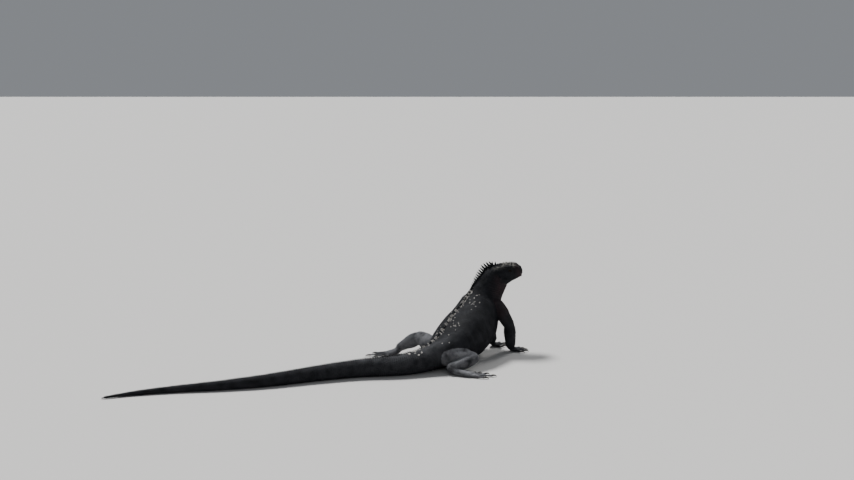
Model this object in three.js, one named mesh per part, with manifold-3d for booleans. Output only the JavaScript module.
// A marine iguana, life size, sitting up on straight arms with its hips and long tail flat on the ground.
// Millimetres, +Z up. +X runs from the tail tip towards the snout, and +Y to the animal's far, left side.
// The origin is on the ground under the middle of the animal.
import * as THREE from "three";
import { mergeVertices } from "three/addons/utils/BufferGeometryUtils.js";
import Module from "manifold-3d";

const wasm = await Module();
wasm.setup();

// Driving dimensions
const GAP = 0.3; // between two parts that touch
const TRUNK_WIDTH = 94;
const TRUNK_DEPTH = 68;
const NECK_WIDTH = 44;
const NECK_DEPTH = 54;
const TAIL_WIDTH = 38;
const TAIL_DEPTH = 42;
const HEAD_LENGTH = 61;
const HEAD_WIDTH = 43;
const HEAD_DEPTH = 45;
const EYE_RADIUS = 5;
const LID_REACH = [3, 1.3, 1.8]; // how far the lids swell past the eye, along, out and up
const ARM_THICKNESS = 26;
const THIGH_THICKNESS = 34;
const TOE_THICKNESS = 5.4;
const CLAW_LENGTH = 8.5;
const NAPE_SPINE = 11;
const BACK_SPINE = 5;
const TAIL_SPINE = 4;
const BOSS_HEIGHT = 2.4; // the blunt, pointed scales on the crown
const BOSS_WIDTH = 4.6;
const BOSS_ROWS = 9;
const BOSS_REACH = [0.14, 0.87]; // from the back row to the front one, as shares of the head's length
const BOSS_ARC = [48, 132]; // degrees round the crown, from the left side over the top

// The middle line of the body from inside the head to the tail tip. Each row has a place, then the
// half width, the height above the line and the depth below it.
const BODY = [
  [324, 133, 162, NECK_WIDTH * 0.34, NECK_DEPTH * 0.3, NECK_DEPTH * 0.32],
  [312, 131, 146, NECK_WIDTH * 0.46, NECK_DEPTH * 0.45, NECK_DEPTH * 0.66],
  [298, 124, 119, NECK_WIDTH * 0.58, NECK_DEPTH * 0.61, NECK_DEPTH * 0.71],
  [288, 112, 90, TRUNK_WIDTH * 0.42, TRUNK_DEPTH * 0.65, TRUNK_DEPTH * 0.6],
  [269, 84, 71, TRUNK_WIDTH * 0.5, TRUNK_DEPTH * 0.595, TRUNK_DEPTH * 0.88],
  [247, 54, 56, TRUNK_WIDTH * 0.56, TRUNK_DEPTH * 0.555, TRUNK_DEPTH * 0.87],
  [225, 22, 41, TRUNK_WIDTH * 0.55, TRUNK_DEPTH * 0.475, TRUNK_DEPTH * 0.64],
  [204, -5, 30, TRUNK_WIDTH * 0.43, TRUNK_DEPTH * 0.39, TRUNK_DEPTH * 0.47],
  [182, -25, 23.2, TAIL_WIDTH * 0.7, TAIL_DEPTH * 0.57, TAIL_DEPTH * 0.56],
  [157, -40, 20, TAIL_WIDTH * 0.52, TAIL_DEPTH * 0.5, TAIL_DEPTH * 0.49],
  [124, -52, 18.2, TAIL_WIDTH * 0.43, TAIL_DEPTH * 0.45, TAIL_DEPTH * 0.445],
  [46, -64, 15.6, TAIL_WIDTH * 0.35, TAIL_DEPTH * 0.39, TAIL_DEPTH * 0.385],
  [-32, -88, 13.2, TAIL_WIDTH * 0.29, TAIL_DEPTH * 0.335, TAIL_DEPTH * 0.325],
  [-110, -116, 10.9, TAIL_WIDTH * 0.235, TAIL_DEPTH * 0.275, TAIL_DEPTH * 0.27],
  [-190, -135, 8.3, TAIL_WIDTH * 0.18, TAIL_DEPTH * 0.21, TAIL_DEPTH * 0.207],
  [-270, -148, 5.9, TAIL_WIDTH * 0.128, TAIL_DEPTH * 0.152, TAIL_DEPTH * 0.148],
  [-335, -163, 4, TAIL_WIDTH * 0.088, TAIL_DEPTH * 0.105, TAIL_DEPTH * 0.102],
  [-390, -182, 2, TAIL_WIDTH * 0.04, TAIL_DEPTH * 0.055, TAIL_DEPTH * 0.054],
];
// How far the back is turned over towards the far side, in degrees at rows of the table above
const ROLL = [[0, 0], [1, 2], [3, 18], [8, 20], [10, 10], [12, 0]];
// Where the body is parted, as rows of the table above
const NECK_TOP = 0;
const NECK_FOOT = 2.45;
const TRUNK_END = 8.2;
const TAIL_PARTS = [TRUNK_END, 9.5, 11, 13.6, 17];
const TAIL_NAMES = ["tail_root", "tail_base", "tail_middle", "tail_end"];
const NAPE_START = 0.65; // the first row whose spines clear the back of the head

// The head's own frame: its origin is where it meets the neck, with +X forward along the head
const HEAD_AT = [314, 129, 152];
const HEAD_YAW = 14;
const HEAD_PITCH = 6;
// The head from back to front: the place along it, then the half width, the height above its line and
// the depth below it, as shares of its length, width, depth and depth
const HEAD = [
  [-0.23, 0.2, 0.2, 0.3],
  [-0.16, 0.33, 0.3, 0.42],
  [0, 0.46, 0.41, 0.58],
  [0.2, 0.5, 0.445, 0.6],
  [0.39, 0.465, 0.45, 0.53],
  [0.59, 0.41, 0.44, 0.41],
  [0.75, 0.36, 0.4, 0.34],
  [0.885, 0.29, 0.31, 0.265],
  [0.967, 0.18, 0.17, 0.16],
  [1, 0.06, 0.04, 0.04],
];
const HEAD_SQUARE = 2.2; // how square its section is: 2 is an ellipse
// The line of the mouth from its corner to past the front, as shares of the head's length and depth
const MOUTH = [[0.2, -0.13], [0.35, -0.2], [0.55, -0.2], [0.75, -0.17], [0.92, -0.15], [1.1, -0.14]];
const JAW_HEEL = [0.13, -0.7]; // the back of the lower jaw, below the corner of the mouth
const LIP_RADIUS = 1.9;
const LIP_SUNK = 0.9; // how far the roll of the lip lies in the skin
const LIP_FRONT = 0.965; // how far forward it runs, as a share of the head's length
const EYE_AT = [0.47, 0.335, 0.17]; // shares of the head's length, width and depth
const LID_OPENING = [0.88, 0.95]; // half its length and the pull of its lids, as shares of the eye's radius
const NOSTRIL_AT = [0.9, 0.17, 0.2];
const NOSTRIL_SWELL = [3.6, 3, 3.2];
const NOSTRIL_HOLE = { offset: [1.6, 1.8, 1.6], radii: [1.7, 1.6, 1.5] };
const EAR_AT = [0.06, 0.46, -0.03];
const EAR_CUP = [2.6, 2.4, 4.2];
const JAW_MUSCLE = { at: [0.13, 0.27, -0.2], radii: [14, 8.5, 11] };
const BROW = { at: [0.46, 0.31, 0.31], radii: [10, 4.5, 3.6] };
// The first spines of the crest, on the back of the head: the place along it and the share of the tallest
const HEAD_SPINES = [[0.08, 0.6], [-0.02, 0.75], [-0.11, 0.85]];
const HEAD_SPINE_FOOT = [4, 2.6]; // length along the body and thickness at the skin

// The joints of each limb, then the ball of the hand or foot and the way its middle digit points
const RIGHT_ARM = {
  root: [315, 100, 101],
  bend: [343, 81, 58],
  end: [347, 93, 15],
  ball: [357, 97],
  heading: 6,
};
const LEFT_ARM = {
  root: [272, 134, 88],
  bend: [302, 134, 55],
  end: [312, 128, 15],
  ball: [319, 129],
  heading: 8,
};
const RIGHT_LEG = {
  root: [206, -28, 27],
  bend: [266, -20, 22],
  end: [221, -50, 14],
  ball: [262, -64],
  heading: 22,
};
const LEFT_LEG = {
  root: [196, 10, 32],
  bend: [163, 58, 41],
  end: [121, 76, 14],
  ball: [98, 68],
  heading: 214,
};

// Each limb's thickness along its two parts, as [place, share of the thickness] pairs that run past
// the joints, where 0 and 1 are
const ARM = {
  thickness: ARM_THICKNESS,
  upper: [
    [-0.1, 0.5], [0, 0.94], [0.15, 1.13], [0.4, 1.16],
    [0.75, 0.98], [1, 0.84], [1.08, 0.66], [1.14, 0.3],
  ],
  lower: [[-0.12, 0.35], [0, 0.76], [0.15, 0.9], [0.35, 0.95], [0.8, 0.84], [1, 0.8], [1.1, 0.6]],
  palm: [10, 10.5, 4.6],
  digits: [10, 15, 19, 19, 12],
};
const LEG = {
  thickness: THIGH_THICKNESS,
  upper: [[-0.05, 0.5], [0.08, 1], [0.35, 1.08], [0.7, 0.92], [1, 0.72], [1.1, 0.54], [1.16, 0.24]],
  lower: [[-0.12, 0.3], [0, 0.62], [0.12, 0.76], [0.35, 0.82], [0.8, 0.58], [1, 0.5], [1.08, 0.34]],
  palm: [8, 10.5, 4.8],
  digits: [11, 18, 27, 36, 20],
};
const DIGIT_SPREAD = [34, 17, 0, -17, -38]; // degrees from the middle one, inner digit first
const DIGIT_ROOTS = [0.62, 0.34, 0, -0.34, -0.66]; // across the ball, as shares of its half width

// Materials
const blackSkin = new THREE.MeshStandardMaterial({ color: 0x26282a, roughness: 0.75 });
const greySkin = new THREE.MeshStandardMaterial({ color: 0x3b3d3f, roughness: 0.8 });
const headSkin = new THREE.MeshStandardMaterial({ color: 0x302c2c, roughness: 0.75 });
const tailSkin = new THREE.MeshStandardMaterial({ color: 0x222426, roughness: 0.7 });
const eyeGloss = new THREE.MeshStandardMaterial({ color: 0x2a1a10, roughness: 0.15 });

const UP = new THREE.Vector3(0, 0, 1);
const vector = (p) => new THREE.Vector3(...p.slice(0, 3));
const { lerp, degToRad } = THREE.MathUtils;
const rounded = (v, square) => Math.sign(v) * Math.abs(v) ** (2 / square);

// A smooth function through [place, value] pairs that never swings past them
function between(pairs) {
  const last = pairs.length - 1;
  const slopes = pairs.slice(1).map(([x, y], i) => (y - pairs[i][1]) / (x - pairs[i][0]));
  const tangents = pairs.map((_, i) => {
    if (i === 0) return slopes[0];
    if (i === last) return slopes[last - 1];
    const product = slopes[i - 1] * slopes[i];
    return product <= 0 ? 0 : (2 * product) / (slopes[i - 1] + slopes[i]);
  });
  return (x) => {
    if (x <= pairs[0][0]) return pairs[0][1];
    if (x >= pairs[last][0]) return pairs[last][1];
    const i = pairs.findIndex(([place]) => place > x) - 1;
    const width = pairs[i + 1][0] - pairs[i][0];
    const t = (x - pairs[i][0]) / width;
    const rise = t * t * (3 - 2 * t);
    const leave = t * (1 - t) * (1 - t) * width * tangents[i];
    const arrive = t * t * (t - 1) * width * tangents[i + 1];
    return lerp(pairs[i][1], pairs[i + 1][1], rise) + leave + arrive;
  };
}

// Turns a closed three.js geometry into a solid that can be joined and cut
function solid(geometry) {
  geometry.deleteAttribute("normal");
  geometry.deleteAttribute("uv");
  const merged = mergeVertices(geometry, 1e-4);
  const vertProperties = new Float32Array(merged.attributes.position.array);
  const triVerts = new Uint32Array(merged.index.array);
  return new wasm.Manifold(new wasm.Mesh({ numProp: 3, vertProperties, triVerts }));
}

const join = (solids) => wasm.Manifold.union(solids);
const aboveGround = (shape) => shape.trimByPlane([0, 0, 1], 0);

// Turns a solid into a named mesh, and keeps only its largest closed surface
function part(name, shape, material) {
  const [largest] = shape.decompose().sort((a, b) => b.volume() - a.volume());
  const { vertProperties, triVerts } = largest.getMesh();
  const geometry = new THREE.BufferGeometry();
  geometry.setAttribute("position", new THREE.Float32BufferAttribute(vertProperties, 3));
  geometry.setIndex(new THREE.Uint32BufferAttribute(triVerts, 1));
  geometry.computeVertexNormals();
  const mesh = new THREE.Mesh(geometry, material);
  mesh.name = name;
  return mesh;
}

// A place on a curve from 0 to 1, with the directions ahead, to the side and upwards there, the last two
// turned by roll(t) radians round the first
function station(curve, t, roll = () => 0) {
  const ahead = curve.getTangent(t);
  const side = new THREE.Vector3().crossVectors(UP, ahead).normalize().applyAxisAngle(ahead, roll(t));
  const up = new THREE.Vector3().crossVectors(ahead, side);
  return { point: curve.getPoint(t), ahead, side, up };
}

// A closed tube along a curve: a capped cylinder whose rings are moved onto the curve. size(t) gives
// [half width, height above, depth below], and grow makes the whole tube that much bigger. pace sets
// how the rings are spread along it.
function tube(curve, size, options) {
  const { from = 0, to = 1, sides = 12, steps = 8, grow = 0, square = 2, pace = (v) => v, roll } = options;
  const geometry = new THREE.CylinderGeometry(1, 1, 1, sides, steps);
  const position = geometry.attributes.position;
  for (let i = 0; i < position.count; i++) {
    const level = Math.round((0.5 - position.getY(i)) * steps) / steps;
    const t = lerp(from, to, pace(level));
    const { point, ahead, side, up } = station(curve, t, roll);
    const [half, above, below] = size(t);
    const onRing = Math.hypot(position.getX(i), position.getZ(i)) > 0.5;
    const across = onRing ? rounded(position.getX(i), square) : 0;
    const aloft = onRing ? rounded(position.getZ(i), square) : 0;
    point.addScaledVector(side, across * (half + grow));
    point.addScaledVector(up, aloft * ((aloft > 0 ? above : below) + grow));
    if (level === 0) point.addScaledVector(ahead, -grow);
    if (level === 1) point.addScaledVector(ahead, grow);
    position.setXYZ(i, point.x, point.y, point.z);
  }
  return solid(geometry);
}

// A ball, egg or bump
function ellipsoid(middle, radii, sides = 10) {
  const geometry = new THREE.SphereGeometry(1, sides, Math.round(sides * 0.7));
  geometry.scale(...radii);
  geometry.translate(...middle);
  return solid(geometry);
}

// A block whose outline is drawn in the upright XZ plane, from low to high along Y
function block(outline, low, high) {
  const depth = high - low;
  const geometry = new THREE.ExtrudeGeometry(outline, { depth, bevelEnabled: false, curveSegments: 6 });
  geometry.rotateX(Math.PI / 2);
  geometry.translate(0, high, 0);
  return solid(geometry);
}

// The body's curve and its sizes
const bodyCurve = new THREE.CatmullRomCurve3(BODY.map(vector), false, "centripetal");
const ROWS = BODY.length - 1;
const column = (c) => between(BODY.map((row, i) => [i / ROWS, row[c]]));
const [bodyHalf, bodyAbove, bodyBelow] = [column(3), column(4), column(5)];
const bodySize = (t) => [bodyHalf(t), bodyAbove(t), bodyBelow(t)];
const rollAt = between(ROLL);
const bodyRoll = (t) => degToRad(rollAt(t * ROWS));
const bodyTube = (fromRow, toRow, options) =>
  tube(bodyCurve, bodySize, { from: fromRow / ROWS, to: toRow / ROWS, roll: bodyRoll, ...options });

// A stretch of the body with what grows on it, parted from its neighbours by half a gap at each end
function stretch(fromRow, toRow, options, growths) {
  const start = station(bodyCurve, fromRow / ROWS);
  const end = station(bodyCurve, toRow / ROWS);
  return join([bodyTube(fromRow, toRow, options), ...growths])
    .trimByPlane(start.ahead.toArray(), start.ahead.dot(start.point) + GAP / 2)
    .trimByPlane(end.ahead.clone().negate().toArray(), -end.ahead.dot(end.point) + GAP / 2);
}

// Seeded random numbers from 0 to 1, so that the same animal comes out each time
let seed = 11;
function random() {
  seed = (seed * 16807) % 2147483647;
  return seed / 2147483647;
}
const varied = (value, share) => value * (1 + share * (2 * random() - 1));

// One spine: a cone that leans back as it rises, with its root sunk under the skin. up and back are the
// directions at its root, and its size is [height, length along the body, thickness] at the skin.
function spine(root, up, back, [height, length, thickness], { lean, sides, rings }) {
  const geometry = new THREE.ConeGeometry(1, 1, sides, rings);
  const position = geometry.attributes.position;
  const side = new THREE.Vector3().crossVectors(back, up);
  const sunk = length * 0.35;
  const spread = (height + sunk) / height;
  for (let i = 0; i < position.count; i++) {
    const rise = position.getY(i) + 0.5;
    const full = spread * (0.5 + 0.4 * rise * (1 - rise));
    const point = root.clone().addScaledVector(up, rise * (height + sunk) - sunk);
    point.addScaledVector(back, position.getX(i) * full * length + lean * height * rise * rise);
    point.addScaledVector(side, position.getZ(i) * full * thickness);
    position.setXYZ(i, point.x, point.y, point.z);
  }
  return solid(geometry);
}

// The crest along the rows of the body: the spines' height, length, thickness and distance apart
const crestHeight = between([
  [0, NAPE_SPINE * 0.8],
  [0.8, NAPE_SPINE],
  [1.5, NAPE_SPINE * 0.75],
  [2.3, BACK_SPINE * 1.2],
  [3, BACK_SPINE],
  [8, BACK_SPINE * 0.9],
  [10, TAIL_SPINE],
  [13, TAIL_SPINE * 0.8],
  [17, TAIL_SPINE * 0.3],
]);
const crestLength = between([[0, 4.2], [2.3, 3.8], [8, 3.6], [10, 4.8], [13, 4.6], [17, 2.6]]);
const crestThickness = between([[0, 2.6], [2.3, 2.4], [8, 2.2], [13, 2], [17, 1]]);
const crestPitch = between([[0, 6.2], [2.3, 6], [8, 6], [10, 8.4], [17, 7.4]]);

// Where the crest stands on the body's back, with the directions upwards and tailwards there
function crestPlace(t) {
  const { point, ahead, up } = station(bodyCurve, t, bodyRoll);
  return { root: point.addScaledVector(up, bodyAbove(t)), up, ahead };
}

// The spines from one row to another
function crest(fromRow, toRow, { lean, sides, rings }) {
  const spines = [];
  const step = 0.001;
  let t = fromRow / ROWS;
  while (t < toRow / ROWS) {
    const row = t * ROWS;
    const { root, up, ahead } = crestPlace(t);
    const size = [varied(crestHeight(row), 0.16), crestLength(row), crestThickness(row)];
    spines.push(spine(root, up, ahead, size, { lean: varied(lean, 0.3), sides, rings }));
    const speed = crestPlace(t + step).root.distanceTo(root) / step;
    t += varied(crestPitch(row), 0.08) / speed;
  }
  return spines;
}
const BOSS = { lean: 0.15, sides: 5, rings: 1 };
const NAPE_CREST = { lean: -0.16, sides: 6, rings: 2 };
const BACK_CREST = { lean: 0.5, sides: 4, rings: 1 };
const TAIL_CREST = { lean: 0.6, sides: 4, rings: 1 };
const CREST_CLEAR = 0.12; // rows kept free of spines on each side of a parting

// Neck, torso and tail
const NECK_MESH = { sides: 24, steps: 8 };
const TRUNK_MESH = { sides: 28, steps: 16, square: 2.15 };
const TAIL_MESH = { sides: 16, steps: 10 };
const trunkCrest = crest(NECK_FOOT + CREST_CLEAR, TRUNK_END - CREST_CLEAR * 2, BACK_CREST);
const trunk = aboveGround(stretch(NECK_FOOT, TRUNK_END, TRUNK_MESH, trunkCrest));
const tails = TAIL_PARTS.slice(1).map((end, i) => {
  const start = TAIL_PARTS[i];
  const spines = crest(start + CREST_CLEAR, end - CREST_CLEAR * 2, TAIL_CREST);
  return aboveGround(stretch(start, end, TAIL_MESH, spines));
});
const bodyClear = join([
  bodyTube(NECK_TOP, NECK_FOOT, { ...NECK_MESH, grow: GAP }),
  bodyTube(NECK_FOOT, TRUNK_END, { ...TRUNK_MESH, grow: GAP }),
  bodyTube(TAIL_PARTS[0], TAIL_PARTS[1], { ...TAIL_MESH, grow: GAP }),
  bodyTube(TAIL_PARTS[1], TAIL_PARTS[2], { ...TAIL_MESH, grow: GAP }),
]);

// The head in its own frame
const onHead = ([along, across, high]) => [along * HEAD_LENGTH, across * HEAD_WIDTH, high * HEAD_DEPTH];
const [HEAD_BACK] = HEAD[0];
const headCurve = new THREE.LineCurve3(
  new THREE.Vector3(HEAD_BACK * HEAD_LENGTH, 0, 0),
  new THREE.Vector3(HEAD_LENGTH, 0, 0),
);
const headRow = (along) => (along - HEAD_BACK) / (1 - HEAD_BACK);
const headColumn = (c, scale) => between(HEAD.map((row) => [headRow(row[0]), row[c] * scale]));
const headHalf = headColumn(1, HEAD_WIDTH);
const headAbove = headColumn(2, HEAD_DEPTH);
const headBelow = headColumn(3, HEAD_DEPTH);
const headSize = (t) => [headHalf(t), headAbove(t), headBelow(t)];
const towardsEnds = (level) => lerp(level, 0.5 - 0.5 * Math.cos(Math.PI * level), 0.7);

// A place on the head, or the one across from it where side is -1
const mirror = ([along, across, high], side) => onHead([along, side * across, high]);

// The skull with the swell of the jaw muscles and the brows, that much bigger all over
function skull(grow = 0) {
  const swell = ({ at, radii }, side) => ellipsoid(mirror(at, side), radii.map((radius) => radius + grow));
  const bulges = [-1, 1].flatMap((side) => [swell(JAW_MUSCLE, side), swell(BROW, side)]);
  const shape = tube(headCurve, headSize, {
    sides: 22,
    steps: 17,
    grow,
    square: HEAD_SQUARE,
    pace: towardsEnds,
  });
  return join([shape, ...bulges]);
}

// The space that the lower jaw takes, that much bigger above and behind
function jawSpace(grow = 0) {
  const onMouth = ([along, high]) => new THREE.Vector2(along * HEAD_LENGTH, high * HEAD_DEPTH + grow);
  const mouth = MOUTH.map(onMouth);
  mouth[0].x -= grow;
  const [heelX, heelZ] = [JAW_HEEL[0] * HEAD_LENGTH - grow, JAW_HEEL[1] * HEAD_DEPTH];
  const outline = new THREE.Shape([new THREE.Vector2(heelX, heelZ)]);
  outline.lineTo(mouth.at(-1).x, heelZ);
  mouth.reverse().forEach((point) => outline.lineTo(point.x, point.y));
  return block(outline, -HEAD_WIDTH, HEAD_WIDTH);
}

// How far out the side of the skull is at a place along it and a height
function sideOfHead(along, high) {
  const t = headRow(along);
  const share = Math.min(1, Math.abs(high * HEAD_DEPTH) / (high > 0 ? headAbove(t) : headBelow(t)));
  return headHalf(t) * (1 - share ** HEAD_SQUARE) ** (1 / HEAD_SQUARE);
}

// A place on the skull, along it and at an angle round it from the left side over the crown, with the
// directions outwards and backwards there
function crownPlace(along, angle) {
  const at = (reach, turn) => {
    const [half, above] = headSize(headRow(reach));
    const across = rounded(Math.cos(turn), HEAD_SQUARE) * half;
    return new THREE.Vector3(reach * HEAD_LENGTH, across, rounded(Math.sin(turn), HEAD_SQUARE) * above);
  };
  const step = 0.01;
  const back = at(along - step, angle).sub(at(along + step, angle)).normalize();
  const round = at(along, angle + step).sub(at(along, angle - step));
  const out = new THREE.Vector3().crossVectors(back, round).normalize();
  return { root: at(along, angle), out, back };
}

// The blunt, pointed scales on the crown, tallest over the eyes
function bosses() {
  const tall = between([[0.1, 0.6], [0.4, 1.1], [0.7, 1.15], [0.9, 0.6]]);
  const scales = [];
  for (let row = 0; row < BOSS_ROWS; row++) {
    const along = lerp(...BOSS_REACH, row / (BOSS_ROWS - 1));
    const across = 4 + (row % 2);
    for (let place = 0; place < across; place++) {
      const degrees = varied(lerp(...BOSS_ARC, place / (across - 1)), 0.03);
      const { root, out, back } = crownPlace(varied(along, 0.02), degToRad(degrees));
      const size = [varied(BOSS_HEIGHT * tall(along), 0.2), BOSS_WIDTH, BOSS_WIDTH];
      scales.push(spine(root, out, back, size, BOSS));
    }
  }
  return scales;
}

// The first spines of the crest, that much bigger on every side
function headSpines(grow = 0) {
  const [length, thickness] = HEAD_SPINE_FOOT.map((foot) => foot + 3 * grow);
  return HEAD_SPINES.map(([along, share]) => {
    const { root, out, back } = crownPlace(along, Math.PI / 2);
    return spine(root, out, back, [share * NAPE_SPINE + 3 * grow, length, thickness], NAPE_CREST);
  });
}

// The lips: a roll that follows the line of the mouth round the front of the head
function lips() {
  const points = MOUTH.slice(0, -1).map(([along, high]) => {
    return [along * HEAD_LENGTH, sideOfHead(along, high) - LIP_SUNK, high * HEAD_DEPTH];
  });
  const front = [HEAD_LENGTH * LIP_FRONT - LIP_SUNK, 0, MOUTH.at(-2)[1] * HEAD_DEPTH];
  const mirrored = points.map(([x, y, z]) => [x, -y, z]).reverse();
  const curve = new THREE.CatmullRomCurve3([...points, front, ...mirrored].map(vector));
  const thin = between([[0, 0.4], [0.12, 1], [0.88, 1], [1, 0.4]]);
  const size = (t) => Array(3).fill(LIP_RADIUS * thin(t));
  return tube(curve, size, { sides: 5, steps: 18 });
}

// The almond opening between the lids
function lidOpening([x, y, z]) {
  const [reach, rise] = LID_OPENING.map((share) => share * EYE_RADIUS);
  const outline = new THREE.Shape();
  outline.moveTo(x - reach, z);
  outline.quadraticCurveTo(x, z - rise, x + reach, z);
  outline.quadraticCurveTo(x, z + rise, x - reach, z);
  return y > 0 ? block(outline, y, y + 2 * EYE_RADIUS) : block(outline, y - 2 * EYE_RADIUS, y);
}

const headMatrix = new THREE.Matrix4()
  .makeTranslation(...HEAD_AT)
  .multiply(new THREE.Matrix4().makeRotationZ(degToRad(HEAD_YAW)))
  .multiply(new THREE.Matrix4().makeRotationY(degToRad(-HEAD_PITCH)));
const placeHead = (shape) => shape.transform(headMatrix.elements);

const ball = (middle, grow) => ellipsoid(middle, Array(3).fill(EYE_RADIUS + grow), 12);
const eyePlaces = { left: mirror(EYE_AT, 1), right: mirror(EYE_AT, -1) };
const eyes = Object.entries(eyePlaces);
const growths = eyes.map(([, at]) => ellipsoid(at, LID_REACH.map((more) => EYE_RADIUS + more), 14));
const hollows = eyes.flatMap(([, at]) => [ball(at, GAP), lidOpening(at)]);
for (const side of [-1, 1]) {
  const [x, y, z] = mirror(NOSTRIL_AT, side);
  const [forward, outward, upward] = NOSTRIL_HOLE.offset;
  growths.push(ellipsoid([x, y, z], NOSTRIL_SWELL, 8));
  hollows.push(ellipsoid([x + forward, y + side * outward, z + upward], NOSTRIL_HOLE.radii, 6));
  hollows.push(ellipsoid(mirror(EAR_AT, side), EAR_CUP, 8));
}
const wholeHead = join([skull(), lips(), ...bosses(), ...headSpines(), ...growths]);
const head = placeHead(wholeHead.subtract(jawSpace(GAP)).subtract(join(hollows)));
const lowerJaw = placeHead(wholeHead.intersect(jawSpace()));
const napeCrest = crest(NAPE_START, NECK_FOOT - CREST_CLEAR, NAPE_CREST);
const headClear = placeHead(join([skull(GAP), ...headSpines(GAP)]));
const neck = stretch(NECK_TOP, NECK_FOOT, NECK_MESH, napeCrest).subtract(headClear);

// One part of a limb from joint to joint
function limbTube(from, to, pairs, thickness, grow = 0) {
  const share = between(pairs);
  const size = (t) => Array(3).fill((share(t) * thickness) / 2);
  const line = new THREE.LineCurve3(vector(from), vector(to));
  const reach = { from: pairs[0][0], to: pairs.at(-1)[0] };
  return tube(line, size, { ...reach, sides: 12, steps: 9, grow, pace: towardsEnds });
}

// A finger or toe with its claw, from the ball of the foot out along the ground
function digit(root, heading, length) {
  const ahead = new THREE.Vector3(Math.cos(heading), Math.sin(heading), 0);
  const place = (reach, high) => vector(root).addScaledVector(ahead, reach).setZ(high * TOE_THICKNESS);
  const path = [place(-5, 0.7), place(0, 0.75), place(length * 0.5, 0.62), place(length, 0.45)];
  const share = between([[0, 0.5], [0.5, 0.54], [0.75, 0.46], [1, 0.42]]);
  const size = (t) => Array(3).fill(share(t) * TOE_THICKNESS);
  const flesh = tube(new THREE.CatmullRomCurve3(path), size, { sides: 6, steps: 4 });
  const hook = new THREE.QuadraticBezierCurve3(
    place(length - 2, 0.5),
    place(length + CLAW_LENGTH * 0.6, 0.85),
    place(length + CLAW_LENGTH, 0.12),
  );
  const taper = between([[0, 0.36], [0.4, 0.28], [1, 0.05]]);
  const claw = tube(hook, (t) => Array(3).fill(taper(t) * TOE_THICKNESS), { sides: 5, steps: 3 });
  return [flesh, claw];
}

// A hand or foot: the palm from the last joint to the ball, then five digits. inner is +1 where its
// first digit is on the left of the way it points, and -1 on the right.
function paw({ end, ball: [ballX, ballY], heading }, { palm, digits }, inner) {
  const [backHalf, frontHalf, height] = palm;
  const front = [ballX, ballY, height * 0.9];
  const under = [end[0], end[1], height];
  const curve = new THREE.QuadraticBezierCurve3(vector(end), vector(under), vector(front));
  const half = between([[0, backHalf * 0.8], [0.4, backHalf], [0.9, frontHalf], [1, frontHalf * 0.8]]);
  const high = between([[0, backHalf], [0.5, height * 1.35], [1, height]]);
  const sole = tube(curve, (t) => [half(t), high(t), high(t)], { sides: 12, steps: 5 });
  const way = degToRad(heading);
  const sideways = new THREE.Vector3(-Math.sin(way), Math.cos(way), 0).multiplyScalar(inner);
  const all = digits.flatMap((length, i) => {
    const root = vector(front).addScaledVector(sideways, DIGIT_ROOTS[i] * frontHalf);
    return digit(root.toArray(), way + degToRad(DIGIT_SPREAD[i]) * inner, length);
  });
  return aboveGround(join([sole, ...all]));
}

// A limb in three parts, each cut clear of the body and of the part above it
function limb(plan, kind, inner) {
  const upper = (grow) => limbTube(plan.root, plan.bend, kind.upper, kind.thickness, grow);
  const lower = (grow) => limbTube(plan.bend, plan.end, kind.lower, kind.thickness, grow);
  return [
    aboveGround(upper()).subtract(bodyClear),
    aboveGround(lower()).subtract(join([bodyClear, upper(GAP)])),
    paw(plan, kind, inner).subtract(join([bodyClear, upper(GAP), lower(GAP)])),
  ];
}

// The whole animal
const group = new THREE.Group();
const add = (name, shape, material) => group.add(part(name, shape, material));
add("head", head, headSkin);
add("lower_jaw", lowerJaw, headSkin);
eyes.forEach(([side, at]) => add(`eye_${side}`, placeHead(ball(at, 0)), eyeGloss));
add("neck", neck, blackSkin);
add("torso", trunk, blackSkin);
tails.forEach((tail, i) => add(TAIL_NAMES[i], tail, tailSkin));
const limbs = [
  [["upper_arm_right", "forearm_right", "hand_right"], limb(RIGHT_ARM, ARM, 1)],
  [["upper_arm_left", "forearm_left", "hand_left"], limb(LEFT_ARM, ARM, -1)],
  [["thigh_right", "shank_right", "foot_right"], limb(RIGHT_LEG, LEG, 1)],
  [["thigh_left", "shank_left", "foot_left"], limb(LEFT_LEG, LEG, 1)],
];
for (const [names, shapes] of limbs) {
  names.forEach((name, i) => add(name, shapes[i], greySkin));
}
const middle = new THREE.Box3().setFromObject(group).getCenter(new THREE.Vector3());
group.position.set(-middle.x, -middle.y, 0);

export default group;
